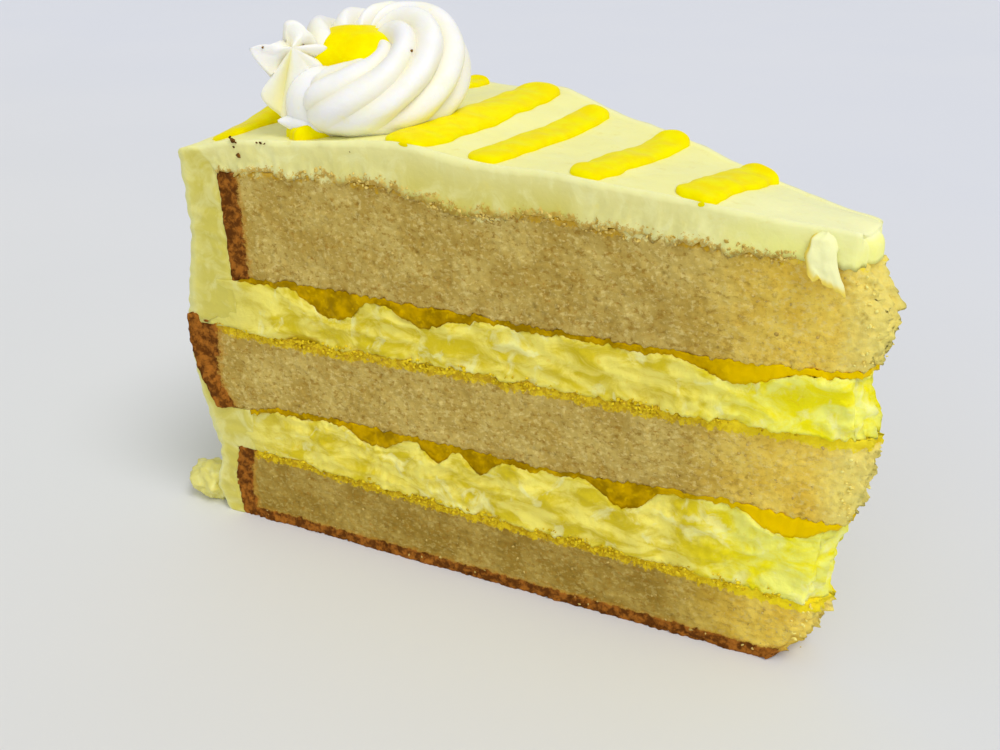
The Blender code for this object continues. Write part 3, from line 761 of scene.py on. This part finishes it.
def make_icing():
    """The icing sheet over the top layer and down the outer wall."""
    side_cells = 72
    depth_cells = 6
    columns = spread(np.arange(side_cells + 1), side_cells)
    inner, outer = icing_rows(columns)
    where = [0.0]
    for number in range(len(outer) - 1):
        gap_out = np.hypot(*(outer[number + 1] - outer[number])).max()
        gap_in = np.hypot(*(inner[number + 1] - inner[number])).max()
        pieces = max(2, round(max(gap_out, gap_in) / ICING_CELL))
        where.extend(number + (np.arange(pieces) + 1) / pieces)
    where = np.array(where)
    inner = straight(inner, where)
    outer = through(outer, where)
    rows = len(where) - 1

    def place(row, across, up):
        row, across = row.astype(int), across.astype(int)
        side = columns[across]
        share = up / depth_cells
        cut = on_cut(side)
        inside = inner[row, :, across]
        outside = outer[row, :, across]
        on_top = where[row] <= TOP_ROWS
        torn = 1.1 * grain(inside[:, 0], side * 50 * MM, inside[:, 1], size=3, seed=21)
        torn += 0.9 * grain(inside[:, 0], side * 50 * MM, inside[:, 1], size=0.9, seed=22)
        inside[:, 1] += torn * MM * cut * on_top - 0.3 * MM * cut * on_top
        distance = inside[:, 0] * (1 - share) + outside[:, 0] * share
        height = inside[:, 1] * (1 - share) + outside[:, 1] * share
        round_off = rise(-where[row], -0.55, 0)
        distance = distance + 1.1 * MM * round_off * share ** 4
        distance = distance + 1.2 * MM * np.abs(side) ** 3 * rise(-where[row], -0.9, 0)
        height = height - 0.5 * MM * round_off * share ** 3
        flat = spot(distance, side, height)
        lift = np.where(on_top, spatula(flat[:, 0], flat[:, 1]), 0) * share
        lip = rise(np.abs(side), 0.93, 1.0) * on_top * share
        smear = 0.4 * grain(distance, side * 30 * MM, height * 0.4, size=3, seed=23)
        by_cut = rise(np.abs(side), 0.8, 1)
        smear += 0.4 * grain(0, side * 20 * MM, height, size=1.6, seed=27) * by_cut
        smear = smear * MM * share * ~on_top
        proud = (0.12 + 0.28 * grain(distance, side * 50 * MM, height * 2, size=3.2, seed=24)) * MM
        proud += 0.3 * MM * (1 - share) ** 2 * on_top
        rough_cut = grain(distance, side * 50 * MM, height, size=1.1, seed=25)
        bare = rise(grain(distance, side * 9 * MM, 0, size=14, seed=26), -0.1, 0.3)
        tearing = (1 - share) * bare * on_top
        proud += 0.7 * MM * rough_cut * tearing
        narrowed = side * (1 - 0.35 * rise(-where[row], -1.1, 0) ** 2)
        points = spot(distance + smear, narrowed, np.maximum(height + lift + 0.25 * MM * lip, 0), proud * cut)
        marks = {
            "tip": towards_tip(distance, 50, 12),
            "cut": np.where(cut | (row == 0), 1.0, 0.0) * (1 - share ** 8),
            "torn": cut * tearing * 0.8,
            "crumbed": cut * on_top * np.clip(1 - 2.4 * share, 0, 1) * rise(distance, 16 * MM, 24 * MM),
            "lip": np.clip(lip * 0.8, 0, 1) * (side > 0) + 0.5 * np.clip(lip, 0, 1) * (side < 0),
        }
        return points, marks

    return block("icing_sheet", (rows, side_cells, depth_cells), place, icing_cream, "icing", "icing")


make_icing()


def make_stripe(number, near, far, width):
    """A rounded strip of curd that lies on the icing, uneven along its edges."""
    start = np.array(near) * MM
    run = np.array(far) * MM - start
    across = np.array((run[1], -run[0])) / np.hypot(*run)
    rings = max(24, round(np.hypot(*run) / (0.4 * MM)))

    def place(ring, turn):
        along = 0.5 - 0.5 * np.cos(math.pi * ring / rings)
        fat = np.maximum(1 - np.abs(2 * along - 1) ** 16, 0.004) ** 0.5
        flank = np.sign(np.cos(turn)) * 4 * MM
        wave = 1 + 0.14 * grain(along * 30 * MM, flank, 0, size=3, seed=30 + number)
        half = width / 2 * MM * wave * fat * np.cos(turn)
        x = start[0] + run[0] * along + across[0] * half
        y = start[1] + run[1] * along + across[1] * half
        crown = STRIPE_HEIGHT * np.abs(np.sin(turn)) ** 0.55
        up = np.where(np.sin(turn) > 0, crown, STRIPE_DEPTH * np.sin(turn))
        bump = 1 + 0.22 * grain(x, y, 0, size=2.6, seed=40 + number)
        # The first stripe swells as it goes, the second is thick, and the others peak at the far end
        bump += (1.8 * rise(along, 0.2, 0.8) if number == 0 else 0.9 * rise(along, 0.86, 1))
        bump += 1.0 * (number == 1)
        z = icing_height(x, y) + up * fat * bump
        return np.stack((x, y, z), axis=-1), {"tip": 0 * x}

    return rope(f"curd_stripe_{number}", rings, 32, place, bright_curd, "icing", "lemon_curd")


for count, (near_end, far_end, breadth) in enumerate(STRIPES):
    make_stripe(count, near_end, far_end, breadth)


def make_flake():
    """A curl of icing that the knife lifted at the near edge of the tip."""
    cells = (40, 24, 4)

    def place(row, across, up):
        down = row / cells[0]
        along = across / cells[1] - 0.5
        share = up / cells[2]
        frill = 0.35 * MM * grain(down * 8 * MM, along * 6 * MM, 0, size=2.2, seed=51)
        width = FLAKE_WIDTH * (0.5 + 0.35 * np.sin(math.pi * 0.7 * down))
        distance = FLAKE_PLACE[0] + 0.6 * MM + along * width - 2.4 * MM * down ** 1.5 + frill
        hem = 2.4 * MM * (along + 0.5) + 0.8 * MM * grain(along * 9 * MM, 0, 0, size=1.6, seed=53)
        height = FLAKE_PLACE[1] - 1.9 * MM - down * (FLAKE_LENGTH - 1.2 * MM - hem * down)
        curl = (0.7 * np.sin(math.pi * down) + 1.3 * down ** 2 + 1.2 * (along + 0.5) ** 2 * down) * MM
        thickness = (1.2 - 0.7 * down) * (1 - 0.75 * (2 * np.abs(along)) ** 4) * MM
        start = -1.6 * MM * rise(-down, -0.35, 0)
        proud = 0.1 * MM + curl + start * (1 - share) + thickness * share - 1.0 * MM * rise(-down, -0.12, 0)
        proud += 0.2 * MM * grain(distance, height, along * 5 * MM, size=1.5, seed=52)
        x = APEX_X - distance * math.cos(FLAKE_TURN) - math.sin(FLAKE_TURN) * proud
        y = -distance * math.sin(FLAKE_TURN) - math.cos(FLAKE_TURN) * proud
        marks = {"tip": 1 + 0 * x, "cut": 0.2 + 0 * x, "lip": 0.3 * share, "torn": 0.5 * share,
                 "stained": np.maximum(rise(down, 0.8, 0.95), rise(along, 0.25, 0.42)) * 0.85}
        return np.stack((x, y, height), axis=-1), marks

    return block("icing_flake", cells, place, icing_cream, "icing", "icing")


def dab_place(points):
    """A small dab of icing at the foot of the wall."""
    bump = 1 + 0.26 * grain(*(points.T * 2), size=1 / MM) + 0.16 * grain(*(points.T * 4.5), size=1 / MM)
    placed = DAB_PLACE + points * bump[:, None] * DAB_SIZE
    placed[:, 2] = np.maximum(placed[:, 2], 0)
    # Painted shade: the dab takes most of the icing's darker, greener colour of the cut, for the shade at the
    # foot of the wall.
    return placed, {"tip": 0 * bump, "cut": 0 * bump + 0.7, "lip": 0 * bump}


make_flake()
ball("icing_dab", 36, dab_place, icing_cream, "icing", "icing")


def make_rosette():
    """Star-piped cream that climbs as it goes once round, pinched and petalled at its tail."""
    rings, sides, cap = 196, 252, 26
    mouth = rings - cap

    def petal(aim, centre, width, point=1.3):
        """A bulge of the rope about one aim, both in degrees."""
        away = (aim - math.radians(centre) + math.pi) % (2 * math.pi) - math.pi
        return np.clip(1 - np.abs(away) / math.radians(width), 0, 1) ** point

    def place(ring, turn):
        run = np.minimum(ring, mouth) / mouth
        angle = ROPE_START + ROPE_TURN * run
        tail = np.clip(run - 0.86, 0, None) / 0.14
        front = 1 - rise(run, 0.12, 0.3)
        height = follow(ROPE_HEIGHT, 100 * MM * run) + 1.4 * MM * front
        half_width = follow(ROPE_HALF_WIDTH, 100 * MM * run)
        centre = follow(ROPE_CENTRE, 100 * MM * run)
        aim = turn + ROPE_TWIST * run
        clear_of_foot = np.clip((np.sin(aim) + 0.8) / 0.5, 0, 1)
        ridge = np.abs(np.cos(ROPE_RIDGES * turn / 2)) ** 0.85
        groove = 0.24 * (1 + 0.2 * tail) * clear_of_foot * (1 - 0.65 * front)
        star = 1 - groove * (1 - ridge)
        across, up = np.cos(turn) * 4 * MM, np.sin(turn) * 4 * MM
        star += 0.025 * grain(across, up, run * 60 * MM, size=2.5, seed=61)
        size = star * np.minimum(1, 0.6 + 0.4 * (run / 0.05) ** 0.5)
        closing = np.clip((ring - mouth) / cap, 0, 1)
        leaf = 0.42 * petal(aim, 30, 24) + 0.34 * petal(aim, 70, 24, 0.9)
        leaf += 0.1 * petal(aim, -8, 30)
        leaf -= 0.34 * petal(aim, 160, 70)
        size = size * (1 + leaf * rise(run, 0.945, 1) * (1 - rise(closing, 0.02, 0.3)))
        size = size * (1 - 0.95 * closing ** 0.9)
        hollow = np.sin(math.pi * np.clip(closing * 1.15, 0, 1))
        forward = TAIL_LEAN * tail + 1.2 * MM * closing - 1.3 * MM * hollow * (1 - ridge) * clear_of_foot
        forward -= 1.8 * MM * np.maximum(leaf, 0) * rise(run, 0.96, 1) * (1 - closing)
        outward = half_width * size * np.cos(aim) + 2.2 * MM * closing ** 0.9
        upward = 0.54 * height * size * np.sin(aim) + 5.8 * MM * closing ** 0.9
        radius = centre + outward
        x = ROSETTE_CENTRE[0] + np.cos(angle) * radius - np.sin(angle) * forward
        y = ROSETTE_CENTRE[1] + np.sin(angle) * radius + np.cos(angle) * forward
        low = icing_height(*(np.array((value,)) for value in ROSETTE_CENTRE))[0]
        z = np.maximum(low + 0.5 * height + upward, icing_height(x, y) - 0.3 * MM)
        stain = petal(aim, -35, 45) * rise(run, 0.93, 1)
        # The mark fold paints shade into the grooves between the ridges and into the pinched end of the tail.
        marks = {"fold": np.clip((1 - ridge) * 1.2 * clear_of_foot + 0.3 * closing, 0, 1), "stain": stain}
        return np.stack((x, y, z), axis=-1), marks

    return rope("piped_rosette", rings, sides, place, white_cream, "rosette", "white_cream")


def lobe_place(points):
    """The small pointed lobe where the piping began, low at the near side of the rosette."""
    x, y, z = points.T
    taper = 1 - 0.55 * rise(-x, 0.1, 1)
    z = z * LOBE_SIZE[2] * taper + 0.5 * MM * np.clip(-x, 0, None)
    x, y = turn_by(x * LOBE_SIZE[0], y * LOBE_SIZE[1] * taper, PIPING_TURN)
    marks = {"fold": 0 * x, "stain": rise(-z, 0.6 * MM, 1.6 * MM) * 0.5}
    return LOBE_PLACE + np.stack((x, y, z), axis=-1), marks


def body_place(points):
    """The smooth cream between the rosette's pinched tail and its first folds."""
    x, y, z = (points * BODY_SIZE).T
    x, y = turn_by(x, y, PIPING_TURN)
    return BODY_PLACE + np.stack((x, y, z), axis=-1), {"fold": 0 * x, "stain": 0 * x}


def dollop_place(points):
    """The lobed curd that lies in the rosette's hollow."""
    x, y, z = points.T
    around = np.arctan2(y, x)
    lobes = 1 + 0.12 * np.cos(2 * around) + 0.05 * np.cos(5 * around + 1)
    bump = 1 + 0.12 * grain(x * 2, y * 2, z * 2, size=1 / MM, seed=71)
    x, y, z = x * lobes * DOLLOP_SIZE[0], y * lobes * DOLLOP_SIZE[1], z * bump * DOLLOP_SIZE[2]
    y, z = turn_by(y, z, DOLLOP_TILT)
    x, y = turn_by(x, y, DOLLOP_TURN)
    return DOLLOP_PLACE + np.stack((x, y, z), axis=-1), {"tip": 0 * x}


make_rosette()
ball("piping_start", 34, lobe_place, white_cream, "rosette", "white_cream")
ball("piped_body", 40, body_place, white_cream, "rosette", "white_cream")
ball("hollow_curd", 40, dollop_place, bright_curd, "curd_dollop", "lemon_curd")


def scatter(name, places, sizes, material, node, slot):
    """Many small crumbs joined into one piece."""
    mesh = bmesh.new()
    for place, size in zip(places, sizes):
        turn = Matrix.Rotation(random.uniform(0, 6.3), 4, Vector((random.random(), random.random(), 1)))
        stretch = (random.uniform(0.7, 1.4), random.uniform(0.7, 1.2), random.uniform(0.6, 1), 1)
        shape = Matrix.Translation(Vector(place)) @ turn @ Matrix.Diagonal(stretch)
        bmesh.ops.create_icosphere(mesh, subdivisions=1, radius=size / 2, matrix=shape)
    for vertex in mesh.verts:
        vertex.co += 0.24 * MM * noise.noise_vector(vertex.co / (0.45 * MM))
        vertex.co.z = max(vertex.co.z, 0.0)
    return finish_piece(name, to_data(name, mesh), material, node)


def crumbs_on(bottom, top, reach, count, side):
    """Places for loose crumbs on the cut of a sponge layer."""
    places = []
    for _ in range(count):
        distance = random.uniform(14, reach) * MM
        low, high = (float(follow(line, distance)) if line else 0.0 for line in (bottom, top))
        height = random.uniform(low + 0.4 * MM, high - 0.4 * MM)
        places.append(spot(distance, side, height, 0.1 * MM))
    return places


def edge_crumbs(line, start, end, spread_up, count, side):
    """Places for the crumbs that the knife dragged over the upper edge of a sponge layer."""
    places = []
    while len(places) < count:
        distance = random.uniform(start, end) * MM
        if noise.noise((distance / (5 * MM), side, line[0][1])) < random.uniform(-0.5, 0.4):
            continue
        height = float(follow(line, distance)) + random.triangular(-1.4, spread_up, -0.4) * MM
        places.append(spot(distance, side, height, 0.22 * MM))
    return places


def tip_crumbs(low, high, count):
    """Places for the crumbs that bristle from the torn tip."""
    places = []
    for _ in range(count):
        height = random.uniform(low, high) * MM
        side = random.choice((-1, 1, random.uniform(-1, 1)))
        tip = float(tip_distance(np.array(side), np.array(height)))
        reach = random.uniform(0.2, 3) * MM
        side = side * (0.72 + 0.28 * min(reach / (2 * MM), 1))
        places.append(spot(tip + reach, side, height, 0.05 * MM))
    return places


tan_crumb = crumb_finish("tan_crumb", colour(160, 134, 62), colour(190, 170, 100))
golden_crumb = crumb_finish("golden_crumb", colour(166, 138, 62), colour(210, 188, 104))
soaked_crumb = crumb_finish("soaked_crumb", colour(176, 148, 8), colour(216, 194, 38))
pale_crumb = crumb_finish("pale_crumb", colour(206, 182, 86), colour(230, 212, 126))
dark_crumb = crumb_finish("dark_crumb", colour(60, 34, 8), colour(120, 78, 26))
for label, bottom_line, top_line, reach_mm, total, tip_heights in (
    ("bottom", BOTTOM_SPONGE_FOOT, BOTTOM_SPONGE_TOP, 121, 90, (3.5, 12.5)),
    ("middle", MIDDLE_SPONGE_BOTTOM, MIDDLE_SPONGE_TOP, 122, 100, (29.5, 43)),
    ("top", TOP_SPONGE_BOTTOM, TOP_SPONGE_TOP, 117, 120, (54.5, 69)),
):
    node = f"sponge_{label}"
    spots = crumbs_on(bottom_line, top_line, reach_mm, total, -1)
    spots += crumbs_on(bottom_line, top_line, reach_mm, total // 2, 1)
    sizes = [random.uniform(0.25, 0.55) * MM for _ in spots]
    scatter(f"crumbs_{label}", spots, sizes, tan_crumb, node, "sponge")
    edge_finish = golden_crumb if label == "top" else soaked_crumb
    lift = 1.6 if label == "top" else 1.2
    spots = edge_crumbs(top_line, 18, reach_mm - 3, lift, 380, -1)
    spots += edge_crumbs(top_line, 18, reach_mm - 3, lift, 190, 1)
    sizes = [random.triangular(0.2, 0.9, 0.35) * MM for _ in spots]
    scatter(f"edge_crumbs_{label}", spots, sizes, edge_finish, node, "sponge")
    spots = tip_crumbs(*tip_heights, 80)
    sizes = [random.uniform(0.3, 0.7) * MM for _ in spots]
    scatter(f"tip_crumbs_{label}", spots, sizes, pale_crumb, node, "sponge")

scatter("burnt_crumbs", [spot(d * MM, -1, z * MM, 0.15 * MM) for d, z, _ in BURNT_CRUMBS],
        [size * MM for _, _, size in BURNT_CRUMBS], dark_crumb, "icing", "icing")
scatter("rosette_specks", [np.array(speck[:3]) * MM for speck in ROSETTE_SPECKS],
        [speck[3] * MM for speck in ROSETTE_SPECKS], dark_crumb, "rosette", "white_cream")

# Floor, light and camera
floor_mesh = bmesh.new()
bmesh.ops.create_grid(floor_mesh, x_segments=4, y_segments=4, size=3)
floor_data = to_data("pale_sheet", floor_mesh)
floor_data.materials.append(floor_finish())
floor = bpy.data.objects.new("pale_sheet", floor_data)
bpy.context.scene.collection.objects.link(floor)


def add_sun(name, towards, strength, softness, tint):
    light = bpy.data.lights.new(name, "SUN")
    light.energy = strength
    light.angle = math.radians(softness)
    light.color = tint
    lamp = bpy.data.objects.new(name, light)
    lamp.rotation_euler = Vector(towards).to_track_quat("Z", "Y").to_euler()
    bpy.context.scene.collection.objects.link(lamp)


add_sun("key", towards=(0.64, -0.1, 1.05), strength=1.32, softness=28, tint=(1.0, 0.985, 0.96))
add_sun("front", towards=(0.5, -0.8, 0.5), strength=0.5, softness=60, tint=(1.0, 0.99, 0.97))

world = bpy.data.worlds.new("soft_room")
world.use_nodes = True
world.node_tree.nodes["Background"].inputs["Color"].default_value = ROOM_TINT
world.node_tree.nodes["Background"].inputs["Strength"].default_value = ROOM_LIGHT
bpy.context.scene.world = world
bpy.context.scene.view_settings.view_transform = "Standard"

camera_data = bpy.data.cameras.new("camera")
camera_data.sensor_width = 36
camera_data.lens = CAMERA_LENS
camera_data.clip_start = 0.005
camera = bpy.data.objects.new("camera", camera_data)
bpy.context.scene.collection.objects.link(camera)
ahead = Vector((math.sin(YAW) * math.cos(PITCH), math.cos(YAW) * math.cos(PITCH), -math.sin(PITCH)))
right = Vector((math.cos(YAW), -math.sin(YAW), 0))
above = right.cross(ahead)
rolled_right = math.cos(ROLL) * right + math.sin(ROLL) * above
rolled_up = -math.sin(ROLL) * right + math.cos(ROLL) * above
turned = Matrix((rolled_right, rolled_up, -ahead)).transposed().to_4x4()
camera.matrix_world = Matrix.Translation(Vector(CAMERA_PLACE) * MM) @ turned
bpy.context.scene.camera = camera
